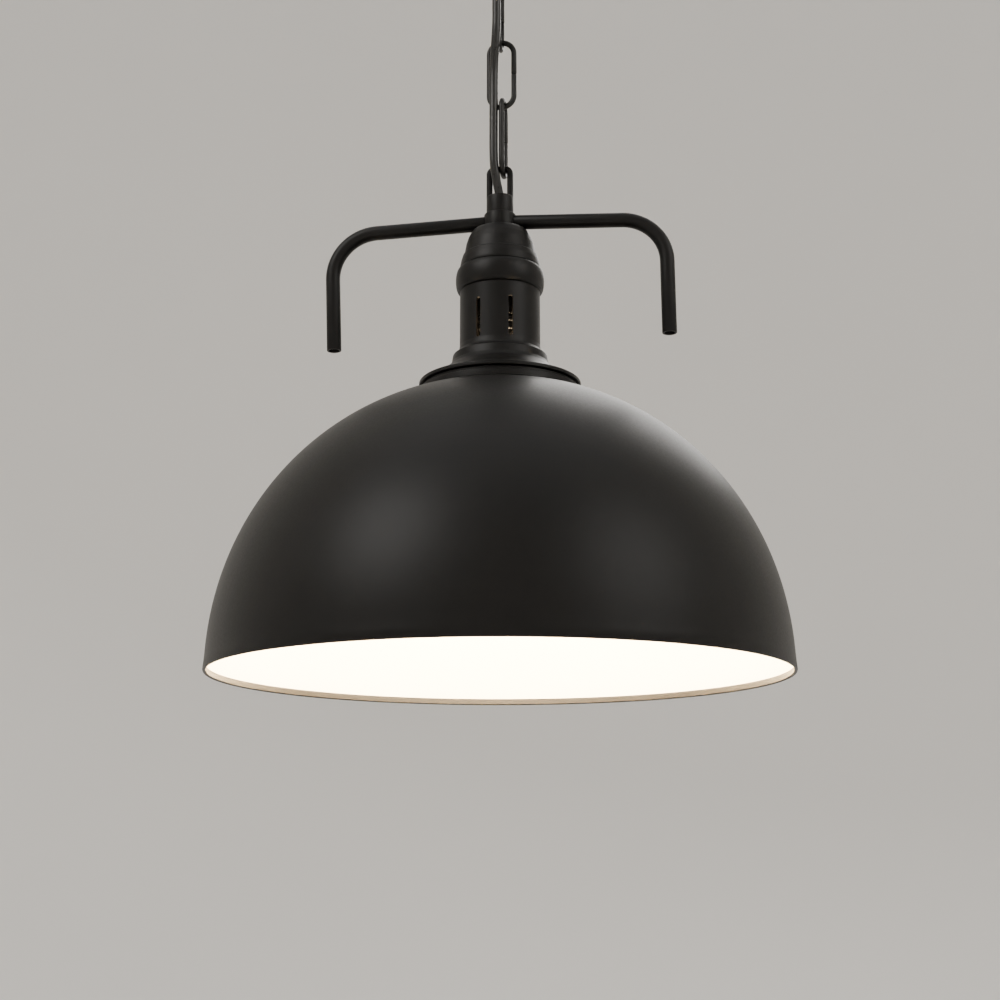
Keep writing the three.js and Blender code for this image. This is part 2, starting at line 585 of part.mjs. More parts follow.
// ---- dome
// Its profile runs up the outside and down the inside; both have a corner where a ring bears.
function dome() {
  const profile = (a, b, radii, steps) => {
    const angles = radii.map((r) => Math.acos((r / a) ** (DOME_FULLNESS / 2)));
    const [low, high, top] = angles;
    const spread = Array.from({ length: steps + 1 }, (_, i) => low + ((high - low) * i) / steps);
    return [...spread, top].map((angle) => [
      a * Math.cos(angle) ** (2 / DOME_FULLNESS),
      b * Math.sin(angle) ** (2 / DOME_FULLNESS),
    ]);
  };
  const flared = ([r, z]) => [
    r + DOME_FLARE * Math.max(0, 1 - z / DOME_FLARE_HEIGHT) ** 2, z,
  ];
  const [ai, bi] = [DOME_RADIUS - DOME_WALL, DOME_HEIGHT - DOME_WALL];
  const atHem = ai * (1 - (HEM_HEIGHT / bi) ** DOME_FULLNESS) ** (1 / DOME_FULLNESS);
  const outer = profile(DOME_RADIUS, DOME_HEIGHT, [DOME_RADIUS, FLANGE_RADIUS, DOME_HOLE], 10);
  const inner = profile(ai, bi, [atHem, RING_NUT_RADIUS, DOME_HOLE], 9).reverse();
  const hem = DOME_RADIUS - HEM_WALL;
  return turned([
    ...outer.map(flared), ...inner.map(flared),
    flared([hem, HEM_HEIGHT]), flared([hem, 0]),
  ], 60);
}
add(lamp, 'dome_shade', dome(), BLACK);

// ---- ring nut that clamps the dome from inside
function ringNut() {
  const [r, hole] = [RING_NUT_RADIUS, SPIGOT_RADIUS + FIT];
  const bi = DOME_HEIGHT - DOME_WALL;
  const inside = bi * (1 - (r / (DOME_RADIUS - DOME_WALL)) ** DOME_FULLNESS)
    ** (1 / DOME_FULLNESS);
  const top = inside - GAP;
  let part = solid(ring(r, hole, top - RING_NUT_HEIGHT, top, 32));
  for (const angle of [45, 135, 225, 315]) {
    const { width, depth } = RING_NUT_NOTCH;
    const notch = box(r - depth, r + depth, -width / 2, width / 2,
      top - RING_NUT_HEIGHT - 1, top + 1);
    notch.rotateZ(THREE.MathUtils.degToRad(angle));
    part = part.subtract(solid(notch));
  }
  return fromSolid(part);
}
add(lamp, 'ring_nut', ringNut(), BLACK);

// ---- lamp holder: terminal cover on the nipple, ceramic body, metal shell, contact
const coverInside = HOLDER_RADIUS - COVER_WALL;
add(lamp, 'holder_cover', turned([
  [threadHole, zCoverTop], [threadHole, zCoverTop - COVER_GRIP - 1],
  [coverInside - 2, zCoverTop - 7.5], [coverInside, zCoverTop - 11], [coverInside, zCover],
  [HOLDER_RADIUS, zCover], [HOLDER_RADIUS, zCoverTop - 8], [HOLDER_RADIUS - 4, zCoverTop - 4],
  [NIPPLE / 2 + 4, zCoverTop - 2.5], [NIPPLE / 2 + 3, zCoverTop],
], 24), CERAMIC);
add(lamp, 'holder_body', turned([
  [0, zShelf], [SHELL_RADIUS + FIT, zShelf], [SHELL_RADIUS + FIT, zBody],
  [HOLDER_RADIUS - 1, zBody], [HOLDER_RADIUS, zBody + 1], [HOLDER_RADIUS, zCover - GAP],
  [0, zCover - GAP],
], 24), CERAMIC);
const zSocket = zShelf - GAP;
add(lamp, 'holder_shell', ring(SHELL_RADIUS, SHELL_RADIUS - SHELL_WALL,
  zSocket - SHELL_LENGTH, zSocket, 24), BRASS);
const [contactHalf, padHalf] = [CONTACT.width / 2, CONTACT.length / 2];
add(lamp, 'centre_contact', fromSolid(
  solid(box(-padHalf, 8, -contactHalf, contactHalf, zSocket - CONTACT.spring, zSocket))
    .add(solid(box(-padHalf, padHalf, -contactHalf, contactHalf,
      zSocket - CONTACT.depth, zSocket - CONTACT.spring / 2)))), BRASS);

const poles = { live: [LIVE, 205], neutral: [NEUTRAL, 335], earth: [EARTH, 90] };
const zFlexEnd = zNippleEnd - 1;
const zScrewTop = zCover + HOLDER_SCREW.height;
for (const [pole, [material, angle]] of Object.entries(poles)) {
  const a = THREE.MathUtils.degToRad(angle);
  const way = new THREE.Vector3(Math.cos(a), Math.sin(a), 0);
  const { x, y } = way.clone().multiplyScalar(HOLDER_RADIUS - TERMINAL_INSET);
  const { radius } = HOLDER_SCREW;
  const head = fromSolid(solid(cylinder(radius, zCover, zScrewTop, 16, x, y)).subtract(solid(
    box(x - radius - 1, x + radius + 1, y - SCREW_SLOT / 2, y + SCREW_SLOT / 2,
      zScrewTop - 1, zScrewTop + 1))));
  add(lamp, `holder_screw_${pole}`, head, BRASS);
  const start = way.clone().multiplyScalar(1.5).setZ(zFlexEnd - GAP);
  const end = new THREE.Vector3(x, y, zScrewTop + GAP + CORE / 2).addScaledVector(way, -1.2);
  const route = new THREE.CubicBezierCurve3(
    start,
    start.clone().setZ(zFlexEnd - 4),
    end.clone().addScaledVector(way, -4.5),
    end,
  );
  add(lamp, `holder_core_${pole}`, swept(circle(CORE / 2, 6), route, 6), material);
}

// ---- bulb: screw cap, tip and glass
const zTip = zBulbCap + BULB_TIP;
add(lamp, 'bulb_tip', turned([
  [0, zBulbCap + GAP], [6, zBulbCap + GAP], [4.2, zTip], [0, zTip],
], 16), BRASS);
const capInside = BULB_CAP_RADIUS - BULB_CAP_WALL;
add(lamp, 'bulb_cap', turned([
  [0, zBulbCap], [BULB_CAP_RADIUS - 4.5, zBulbCap], [BULB_CAP_RADIUS, zBulbCap - 4],
  [BULB_CAP_RADIUS, zGlass + GAP], [capInside, zGlass + GAP],
  [capInside, zBulbCap - 4.5], [0, zBulbCap - 4.5],
], 24), STEEL);
function bulbGlass() {
  const centre = zGlass - BULB_LENGTH + BULB_RADIUS;
  const neckEnd = capInside - FIT;
  const outline = (t) => [
    ...arc(0, centre, BULB_RADIUS - t, -90, 28, 7),
    [20 - t, centre + 24], [neckEnd + 2 - t, zGlass - 12], [neckEnd + 0.5 - t, zGlass - 2],
    [neckEnd - t, zGlass],
    [neckEnd - t, zGlass + 8],
  ];
  return turned([
    ...outline(0), ...outline(BULB_GLASS).reverse(),
  ].map(([r, z]) => [Math.max(r, 0), z]), 24);
}
add(lamp, 'bulb_glass', bulbGlass(), GLASS);

// ---------------------------------------------------------------- flex
// The route from the rose's nipple, round the front of the chain, into the lamp's stem.
const flexRoute = new THREE.CatmullRomCurve3([
  [0, 0, -16], [0, 0, -24], [0, 0, -31], [0, -0.2, -37], [0, -2.6, -43.5], [-0.1, -7, -49],
  [-0.2, -11, -54.8], [-0.3, -13.1, -61.5], [-0.3, -13.5, -69], [-0.3, -13.4, -77],
  [-0.3, -13.2, -84], [-0.6, -12.8, -92], [-1.3, -11.4, -100], [-2.1, -9.4, -107.5],
  [-2.7, -7.8, -114], [-3, -6.9, -120], [-3.1, -6.6, -128], [-3.1, -6.6, -136],
  [-3.1, -6.7, -145], [-3.1, -6.8, -154], [-3.1, -6.9, -162], [-3.1, -7, -170],
  [-3, -7, -177], [-2.8, -6.8, -183], [-2.3, -5.9, -188.5], [-1.5, -4, -194.5],
  [-0.5, -1.4, -200.5], [0, -0.1, -206], [0, 0, -212], [0, 0, -222], [0, 0, -235],
  [0, 0, -248], [0, 0, -260.8],
].map((p) => new THREE.Vector3(...p)));

// The part of the route between two of its points, short of the second by a face gap.
class Stretch extends THREE.Curve {
  constructor(from, to) {
    super();
    const [end, before] = [to, to - 1].map((i) => flexRoute.points[i]);
    const count = flexRoute.points.length - 1;
    this.from = from / count;
    this.to = (to - GAP / end.distanceTo(before)) / count;
  }
  getPoint(t, target = new THREE.Vector3()) {
    return flexRoute.getPoint(this.from + (this.to - this.from) * t, target);
  }
}

// It is one flex, in four stretches that each bend at one joint of the chain.
const flexEnds = { flex_upper: [0, 9], flex_middle: [9, 15], flex_lower: [15, 20], flex_lamp: [20, 32] };
for (const [name, [from, to]] of Object.entries(flexEnds)) {
  const tube = swept(circle(FLEX / 2, 10), new Stretch(from, to), to - from);
  add(model, name, tube, FLEX_SHEATH);
}

export default model;
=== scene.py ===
import math

import bmesh
import bpy
from mathutils import Matrix, Vector


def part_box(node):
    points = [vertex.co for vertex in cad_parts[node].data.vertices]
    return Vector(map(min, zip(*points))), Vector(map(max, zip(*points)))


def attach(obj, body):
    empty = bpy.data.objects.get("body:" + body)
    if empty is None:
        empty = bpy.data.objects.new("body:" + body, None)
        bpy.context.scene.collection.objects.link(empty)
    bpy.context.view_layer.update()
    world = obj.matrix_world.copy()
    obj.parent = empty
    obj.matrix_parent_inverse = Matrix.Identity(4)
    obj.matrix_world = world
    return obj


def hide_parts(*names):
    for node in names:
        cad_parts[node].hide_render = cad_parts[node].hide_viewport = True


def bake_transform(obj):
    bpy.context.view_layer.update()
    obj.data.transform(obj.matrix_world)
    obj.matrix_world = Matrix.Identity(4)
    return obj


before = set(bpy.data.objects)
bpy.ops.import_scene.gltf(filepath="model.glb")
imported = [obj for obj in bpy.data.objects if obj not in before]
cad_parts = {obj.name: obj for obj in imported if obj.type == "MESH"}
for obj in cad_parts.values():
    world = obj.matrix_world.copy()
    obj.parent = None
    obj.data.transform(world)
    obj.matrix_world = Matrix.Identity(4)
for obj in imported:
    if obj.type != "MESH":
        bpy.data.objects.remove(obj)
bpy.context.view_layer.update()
MM = 0.001
TINY = 1e-6

# ------------------------------------------------------------------ camera
# It stands a little below the rim and to one side, and looks up.
z_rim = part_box("dome_shade")[0].z
AWAY, BELOW = 0.950, 0.1082
SIDEWAYS, PITCH = math.radians(8.5), math.radians(12.84)
SENSOR, LENS = 36, 57.35
camera = bpy.data.objects.new("camera", bpy.data.cameras.new("camera"))
bpy.context.scene.collection.objects.link(camera)
camera.data.sensor_width, camera.data.lens = SENSOR, LENS
camera.data.clip_start, camera.data.clip_end = 0.01, 60
camera.location = (AWAY * math.sin(SIDEWAYS), -AWAY * math.cos(SIDEWAYS), z_rim - BELOW)
camera.rotation_euler = (math.radians(90) + PITCH, 0, SIDEWAYS)
bpy.context.scene.camera = camera


# ------------------------------------------------------------------ mesh helpers
def link_mesh(name, verts, faces, sharp=35):
    """A mesh object, faces out, smooth except at edges sharper than that many degrees."""
    mesh = bpy.data.meshes.new(name)
    mesh.from_pydata([tuple(v) for v in verts], [], faces)
    bm = bmesh.new()
    bm.from_mesh(mesh)
    bmesh.ops.remove_doubles(bm, verts=bm.verts, dist=1e-7)
    bmesh.ops.recalc_face_normals(bm, faces=bm.faces)
    bm.to_mesh(mesh)
    bm.free()
    obj = bpy.data.objects.new(name, mesh)
    bpy.context.scene.collection.objects.link(obj)
    shade(obj, sharp)
    return obj


def shade(obj, sharp=35):
    obj.data.shade_smooth()
    obj.data.set_sharp_from_angle(angle=math.radians(sharp))


def rounded(corners, steps=4):
    """Corners (r, z) or (r, z, fillet) in mm, as points with each fillet drawn as a curve.
    A fillet takes less than half of the shorter side beside it."""
    out = []
    for i, (r, z, *fillet) in enumerate(corners):
        p = Vector((r, z))
        if not fillet:
            out.append((r, z))
            continue
        a = Vector(corners[i - 1][:2]) - p
        b = Vector(corners[(i + 1) % len(corners)][:2]) - p
        cut = fillet[0] / math.tan(a.angle(b) / 2)
        start = p + a.normalized() * min(cut, 0.48 * a.length)
        end = p + b.normalized() * min(cut, 0.48 * b.length)
        for k in range(steps + 1):
            t = k / steps
            out.append(tuple(start * (1 - t) ** 2 + p * (2 * t * (1 - t)) + end * t * t))
    return out


def turned(name, profile, sides=128, sharp=35, thread=None):
    """A profile of (r, z) in mm turned about Z; it closes on itself or ends on the axis.
    thread(r, z, angle) gives a radius where the surface isn't round."""
    verts, rows, faces = [], [], []
    for r, z in profile:
        count = sides if r > TINY else 1
        rows.append([len(verts) + i for i in range(count)])
        for i in range(count):
            a = 2 * math.pi * i / sides
            rr = thread(r, z, a) if thread and count > 1 else r
            verts.append((rr * math.cos(a) * MM, rr * math.sin(a) * MM, z * MM))
    pairs = list(zip(rows, rows[1:]))
    if profile[0][0] > TINY:
        pairs.append((rows[-1], rows[0]))
    for low, high in pairs:
        for i in range(sides):
            j = i + 1
            quad = [low[i % len(low)], low[j % len(low)],
                    high[j % len(high)], high[i % len(high)]]
            face = list(dict.fromkeys(quad))
            if len(face) > 2:
                faces.append(face)
    return link_mesh(name, verts, faces, sharp)


def bent(start, heading, stretches, degrees=7):
    """Points in the XZ plane, in mm, along straight and round stretches [length, turn]."""
    x, z = start
    a = math.radians(heading)
    points = [(x, z)]
    for length, turn in stretches:
        count = max(1, round(abs(turn) / degrees))
        step, dip = length / count, math.radians(turn) / count
        for _ in range(count):
            chord = step * (math.sin(dip / 2) / (dip / 2) if dip else 1)
            x += chord * math.cos(a + dip / 2)
            z += chord * math.sin(a + dip / 2)
            a += dip
            points.append((x, z))
    return [Vector((x, 0, z)) for x, z in points]


def disc(radius, sides):
    return [(radius * math.cos(2 * math.pi * i / sides),
             radius * math.sin(2 * math.pi * i / sides)) for i in range(sides)]


def swept(name, path, section, hollow=None, tips=()):
    """A section swept along a path, all in mm. hollow is an inner section of as many points.
    tips are (share of the section, distance past the end) rings that round the ends off."""
    tangents = []
    for i in range(len(path)):
        before = path[i] - path[i - 1] if i else path[1] - path[0]
        after = path[i + 1] - path[i] if i < len(path) - 1 else before
        tangents.append((before.normalized() + after.normalized()).normalized())
    normal = tangents[0].orthogonal()
    if abs(tangents[0].y) < 0.9:
        normal = tangents[0].cross(Vector((0, 1, 0))).normalized()
    frames = []
    for i, t in enumerate(tangents):
        if i:
            normal = tangents[i - 1].rotation_difference(t) @ normal
        frames.append((path[i], normal.copy(), t.cross(normal), t))
    stations = [(p, n, b, 1) for p, n, b, _ in frames]
    for share, past in tips:
        p, n, b, t = frames[0]
        stations.insert(0, (p - t * past, n, b, share))
        p, n, b, t = frames[-1]
        stations.append((p + t * past, n, b, share))
    verts, faces = [], []

    def skin(outline):
        first = len(verts)
        size = len(outline)
        for p, n, b, share in stations:
            verts.extend((p + n * (u * share) + b * (v * share)) * MM for u, v in outline)
        for k in range(len(stations) - 1):
            for i in range(size):
                j = (i + 1) % size
                at = first + k * size
                faces.append([at + i, at + j, at + size + j, at + size + i])
        return ([first + i for i in range(size)],
                [first + (len(stations) - 1) * size + i for i in range(size)])

    ends = skin(section)
    if hollow:
        for end, edge in zip(ends, skin(hollow)):
            for i in range(len(end)):
                j = (i + 1) % len(end)
                faces.append([end[i], end[j], edge[j], edge[i]])
    else:
        faces.extend(ends)
    return link_mesh(name, verts, faces)


def cube(x, y, z, centre):
    """A box of those sides in mm, to cut with."""
    verts = [Vector((sx * x / 2, sy * y / 2, sz * z / 2)) + Vector(centre)
             for sx in (-1, 1) for sy in (-1, 1) for sz in (-1, 1)]
    faces = [(0, 1, 3, 2), (4, 6, 7, 5), (0, 4, 5, 1),
             (2, 3, 7, 6), (0, 2, 6, 4), (1, 5, 7, 3)]
    return link_mesh("tool", [v * MM for v in verts], faces)


def settle(obj):
    """Applies an object's modifiers."""
    graph = bpy.context.evaluated_depsgraph_get()
    mesh = bpy.data.meshes.new_from_object(obj.evaluated_get(graph))
    obj.modifiers.clear()
    obj.data = mesh


def bevelled(obj, width, angle):
    """Rounds the edges sharper than that many degrees, width in mm."""
    bevel = obj.modifiers.new("bevel", "BEVEL")
    bevel.width, bevel.segments = width * MM, 2
    bevel.limit_method, bevel.angle_limit = "ANGLE", math.radians(angle)
    settle(obj)


def carve(obj, tools, operation="DIFFERENCE", sharp=35):
    """Cuts the tools out of an object, or joins them to it, and uses them up."""
    for tool in tools:
        cut = obj.modifiers.new("cut", "BOOLEAN")
        cut.operation, cut.object, cut.solver = operation, tool, "EXACT"
        settle(obj)
        bpy.data.objects.remove(tool)
    shade(obj, sharp)


def move(obj, x=0, y=0, z=0, turn=0):
    """Turns an object's mesh about Z, in degrees, then moves it, in mm."""
    obj.data.transform(Matrix.Translation(Vector((x, y, z)) * MM)
                       @ Matrix.Rotation(math.radians(turn), 4, "Z"))
    return obj


REFINED_EDGE = 33


def refined(node, name, width):
    """A CAD node's own shape with its sharp edges rounded."""
    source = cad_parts[node]
    obj = bpy.data.objects.new(name, source.data.copy())
    bpy.context.scene.collection.objects.link(obj)
    obj.data.materials.clear()
    bm = bmesh.new()
    bm.from_mesh(obj.data)
    bmesh.ops.remove_doubles(bm, verts=bm.verts, dist=TINY)
    bmesh.ops.dissolve_limit(bm, angle_limit=math.radians(1), verts=bm.verts, edges=bm.edges)
    bm.to_mesh(obj.data)
    bm.free()
    bevelled(obj, width, REFINED_EDGE)
    shade(obj, REFINED_EDGE)
    return obj


# ------------------------------------------------------------------ materials
def material(name, base, rough, metal=0.0, drift=0.15, drift_scale=18, grain=900,
             bump=0.1, depth=0.05, rough_drift=0.06, gloss_scale=9, **sockets):
    """A finish with slow drift in its colour, fine drift in its gloss, and a fine grain."""
    made = bpy.data.materials.new(name)
    made.use_nodes = True
    nodes, links = made.node_tree.nodes, made.node_tree.links
    shader = nodes["Principled BSDF"]
    shader.inputs["Metallic"].default_value = metal
    for key, value in sockets.items():
        shader.inputs[key.replace("_", " ")].default_value = value
    place = nodes.new("ShaderNodeTexCoord")

    def noise(scale, detail):
        node = nodes.new("ShaderNodeTexNoise")
        node.inputs["Scale"].default_value = scale
        node.inputs["Detail"].default_value = detail
        links.new(place.outputs["Object"], node.inputs["Vector"])
        return node.outputs["Fac"]

    def spread(source, low, high):
        node = nodes.new("ShaderNodeMapRange")
        node.inputs["From Min"].default_value = 0.3
        node.inputs["From Max"].default_value = 0.7
        node.inputs["To Min"].default_value = low
        node.inputs["To Max"].default_value = high
        links.new(source, node.inputs["Value"])
        return node.outputs["Result"]

    slow = noise(drift_scale, 4)
    ramp = nodes.new("ShaderNodeValToRGB")
    low, high = ramp.color_ramp.elements
    low.position, high.position = 0.3, 0.7
    low.color = (*[c * (1 - drift) for c in base], 1)
    high.color = (*[min(1, c * (1 + drift)) for c in base], 1)
    links.new(slow, ramp.inputs["Fac"])
    links.new(ramp.outputs["Color"], shader.inputs["Base Color"])
    gloss = noise(drift_scale * gloss_scale, 5)
    links.new(spread(gloss, rough - rough_drift, rough + rough_drift),
              shader.inputs["Roughness"])
    relief = nodes.new("ShaderNodeBump")
    relief.inputs["Strength"].default_value = bump
    relief.inputs["Distance"].default_value = depth * MM
    links.new(noise(grain, 3), relief.inputs["Height"])
    links.new(relief.outputs["Normal"], shader.inputs["Normal"])
    return made


PAINT = material("satin_black_paint", (0.0045, 0.004, 0.0036), 0.42, grain=1300,
                 bump=0.22, depth=0.03, drift=0.15, rough_drift=0.03, gloss_scale=45,
                 Specular_IOR_Level=0.22)
CHAIN = material("black_chain_wire", (0.007, 0.0066, 0.0062), 0.4, drift=0.3, drift_scale=60,
                 grain=2200, bump=0.3, depth=0.03, rough_drift=0.1, Specular_IOR_Level=0.35)
LINING = material("cream_enamel", (0.84, 0.79, 0.68), 0.34, grain=700, bump=0.25, depth=0.05,
                  drift=0.02, drift_scale=9)
ZINC = material("bright_zinc", (0.56, 0.57, 0.58), 0.33, metal=1, drift=0.1, drift_scale=70,
                grain=1600, bump=0.25, depth=0.03, rough_drift=0.1)
SCREW = material("blackened_screw", (0.03, 0.03, 0.032), 0.4, metal=0.6, drift=0.2,
                 drift_scale=90, grain=2500, bump=0.3, depth=0.02)
PLASTIC = material("white_plastic", (0.78, 0.76, 0.71), 0.42, drift=0.03, grain=1500,
                   bump=0.2, depth=0.03)
CERAMIC = material("black_glazed_ceramic", (0.012, 0.011, 0.0105), 0.24, drift=0.2,
                   drift_scale=40, grain=300, bump=0.2, depth=0.12, Coat_Weight=0.3,
                   Coat_Roughness=0.08)
BRASS = material("contact_brass", (0.62, 0.43, 0.16), 0.3, metal=1, drift=0.12,
                 drift_scale=80, grain=1800, bump=0.25, depth=0.02)
NICKEL = material("nickelled_cap", (0.6, 0.59, 0.56), 0.27, metal=1, drift=0.06,
                  drift_scale=60, grain=1600, bump=0.2, depth=0.02)
OPAL = material("opal_glass", (0.93, 0.88, 0.78), 0.24, drift=0.02, grain=500, bump=0.1,
                depth=0.03, Emission_Color=(1, 0.74, 0.42, 1), Emission_Strength=30.0)
SHEATH = material("flex_sheath", (0.008, 0.0075, 0.007), 0.34, drift=0.15, drift_scale=50,
                  grain=1700, bump=0.3, depth=0.03, rough_drift=0.08)
CORES = {pole: material(f"core_{pole}", colour, 0.45, drift=0.1, drift_scale=80, grain=2000,
                        bump=0.2, depth=0.02)
         for pole, colour in {"live": (0.14, 0.055, 0.022), "neutral": (0.018, 0.075, 0.30),
                              "earth": (0.10, 0.26, 0.035)}.items()}


def finished(obj, finish, body, slot, *stands_for):
    """Gives a piece its finish and its body, and hides the CAD nodes it stands for. Its slot
    is not used.
    """
    obj.data.materials.clear()
    obj.data.materials.append(finish)
    if stands_for:
        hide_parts(*stands_for)
    if body:
        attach(obj, body)
    return obj


# ------------------------------------------------------------------ flex
# The route's points are those of the CAD solids, in mm.
ROUTE = [
    (0, 0, -16), (0, 0, -24), (0, 0, -31), (0, -0.2, -37), (0, -2.6, -43.5), (-0.1, -7, -49),
    (-0.2, -11, -54.8), (-0.3, -13.1, -61.5), (-0.3, -13.5, -69), (-0.3, -13.4, -77),
    (-0.3, -13.2, -84), (-0.6, -12.8, -92), (-1.3, -11.4, -100), (-2.1, -9.4, -107.5),
    (-2.7, -7.8, -114), (-3, -6.9, -120), (-3.1, -6.6, -128), (-3.1, -6.6, -136),
    (-3.1, -6.7, -145), (-3.1, -6.8, -154), (-3.1, -6.9, -162), (-3.1, -7, -170),
    (-3, -7, -177), (-2.8, -6.8, -183), (-2.3, -5.9, -188.5), (-1.5, -4, -194.5),
    (-0.5, -1.4, -200.5), (0, -0.1, -206), (0, 0, -212), (0, 0, -222), (0, 0, -235),
    (0, 0, -248), (0, 0, -260.8),
]
FLEX = 5.6


def route_points(first, last):
    """Points along the centripetal Catmull-Rom curve through the route, from first to last."""
    per = 6
    p = [Vector(q) for q in ROUTE]
    p = [p[0] * 2 - p[1], *p, p[-1] * 2 - p[-2]]
    out = []
    for i in range(first + 1, last + 1):
        a, b, c, d = p[i - 1:i + 3]
        ab, bc, cd = [math.sqrt((v - u).length) for u, v in ((a, b), (b, c), (c, d))]
        into = ((b - a) / ab - (c - a) / (ab + bc) + (c - b) / bc) * bc
        away = ((c - b) / bc - (d - b) / (bc + cd) + (d - c) / cd) * bc
        for k in range(per):
            t = k / per
            out.append(b * (2 * t ** 3 - 3 * t ** 2 + 1) + into * (t ** 3 - 2 * t ** 2 + t)
                       + c * (3 * t ** 2 - 2 * t ** 3) + away * (t ** 3 - t ** 2))
    return [*out, p[last + 1]]


def flex(name, first, last):
    """One stretch of the cable, between two heights, from one body to the next."""
    points = route_points(first, last)
    tube = swept(name, points, disc(FLEX / 2, 24))
    finished(tube, SHEATH, None, "flex_sheath", name.replace("_cable", ""))
    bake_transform(tube)


flex("flex_upper_cable", 0, 9)
flex("flex_middle_cable", 9, 15)
flex("flex_lower_cable", 15, 20)
flex("flex_lamp_cable", 20, 32)


# ------------------------------------------------------------------ chain
WIRE, LINK_WIDTH = 3.55, 19.7
SEAM = 0.4
WIRE_TIPS = ((0.93, 0.2), (0.8, 0.35))
LINK_SHIFT = 1.1            # each link hangs this far to the side of the one above


def chain_link(name, node, x, turn):
    """A wire link with a butt seam half way up one side."""
    low, high = [c.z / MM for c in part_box(node)]
    radius = (LINK_WIDTH - WIRE) / 2
    straight = high - low - LINK_WIDTH
    half = (straight - SEAM) / 2
    bend = math.pi * radius
    path = bent((radius, -radius - half - SEAM), -90,
                [[half, 0], [bend, -180], [straight, 0], [bend, -180], [half, 0]])
    # the ends are drawn back by as much as their rounded tips stand out
    path[0].z -= WIRE_TIPS[-1][1]
    path[-1].z += WIRE_TIPS[-1][1]
    obj = swept(name, path, disc(WIRE / 2, 28), tips=WIRE_TIPS)
    return finished(move(obj, x=x, z=high - WIRE / 2, turn=turn), CHAIN,
                    node.split("_")[1] + "_link", "chain_black", node)


chain_link("chain_link_upper", "link_upper", 0, 90)
chain_link("chain_link_middle", "link_middle", LINK_SHIFT, 0)
chain_link("chain_link_lower", "link_lower", 2 * LINK_SHIFT, 90)


# ------------------------------------------------------------------ eyes
EYE_WIDTH, EYE_BAR, EYE_DEPTH = 17.2, 3.9, 4.4
EYE_WINDOW, EYE_CORNER, EYE_FOOT = 17.1, 3.4, 11.9
EYE_EDGE, EYE_ROOT = 1.5, 1     # rounding of the bar, and how far it goes into the foot
BORE, NIPPLE, NIPPLE_GRIP = 7, 10, 7
FIT, GAP = 0.25, 0.3
NIPPLE_HOLE = NIPPLE / 2 + FIT


def eye(name, node, up, body):
    """The arch that a link goes through, on its round foot; up is 1, or -1 for the rose's."""
    low, high = [c.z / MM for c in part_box(node)]
    bar = (high if up > 0 else low) - up * EYE_BAR / 2
    side = (EYE_WIDTH - EYE_BAR) / 2
    rise = EYE_WINDOW + EYE_BAR / 2 - EYE_CORNER + EYE_ROOT
    corner = math.pi / 2 * EYE_CORNER
    path = bent((-side, -EYE_WINDOW - EYE_BAR / 2 - EYE_ROOT), 90,
                [[rise, 0], [corner, -90], [2 * (side - EYE_CORNER), 0], [corner, -90],
                 [rise, 0]], 8)
    w, d = EYE_BAR / 2, EYE_DEPTH / 2
    section = rounded([(x, y, EYE_EDGE) for x, y in ((w, d), (-w, d), (-w, -d), (w, -d))], 5)
    arch = swept("arch", path, section)
    foot0, foot1 = -EYE_BAR / 2 - EYE_WINDOW - EYE_FOOT, -EYE_WINDOW - EYE_BAR / 2
    r, grip = EYE_WIDTH / 2, foot0 + NIPPLE_GRIP + GAP
    foot = turned(name, rounded([
        (NIPPLE_HOLE, foot0), (r, foot0, 0.4), (r, foot1, 1.1), (BORE / 2, foot1, 1.4),
        (BORE / 2, grip), (NIPPLE_HOLE, grip),
    ]), 96)
    carve(foot, [arch], "UNION")
    for vertex in foot.data.vertices:
        vertex.co.z = bar * MM + up * vertex.co.z
    if up < 0:
        foot.data.flip_normals()
    return finished(foot, PAINT, body, "black_paint", node)


eye("rose_eye_arch", "rose_eye", -1, "ceiling")
eye("lamp_eye_arch", "lamp_eye", 1, "lamp")

# ------------------------------------------------------------------ ceiling rose
ROSE_RADIUS, ROSE_WALL, ROSE_CORNER, ROSE_SCREW = 52, 1.2, 9, 4
rose_low, rose_high = [c.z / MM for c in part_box("rose_cup")]
z_screw = sum(c.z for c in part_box("rose_side_screw_left")) / 2 / MM
rose = turned("rose_shell", rounded([
    (NIPPLE_HOLE, rose_low), (ROSE_RADIUS, rose_low, ROSE_CORNER),
    (ROSE_RADIUS, rose_high, 0.4),
    (ROSE_RADIUS - ROSE_WALL, rose_high, 0.4),
    (ROSE_RADIUS - ROSE_WALL, rose_low + ROSE_WALL, ROSE_CORNER - ROSE_WALL),
    (NIPPLE_HOLE, rose_low + ROSE_WALL),
], 10), 160)
bore_end = Vector((ROSE_RADIUS + 8, 0, 0))
screw_axis = Vector((0, 0, z_screw))
carve(rose, [swept("bore", [screw_axis - bore_end, screw_axis + bore_end],
                   disc(ROSE_SCREW / 2 + FIT, 32))])
finished(rose, PAINT, "ceiling", "black_paint", "rose_cup")
for side in ("left", "right"):
    node = f"rose_side_screw_{side}"
    finished(refined(node, f"rose_screw_{side}", 0.2), SCREW, "ceiling", "black_screw", node)
finished(refined("ceiling_bracket", "bracket_strip", 0.3), ZINC, "ceiling", "zinc_steel",
         "ceiling_bracket")
finished(refined("terminal_block", "terminal_strip", 0.6), PLASTIC, "ceiling",
         "white_plastic", "terminal_block")
finished(refined("rose_nut", "rose_hex_nut", 0.3), ZINC, "ceiling", "zinc_steel", "rose_nut")

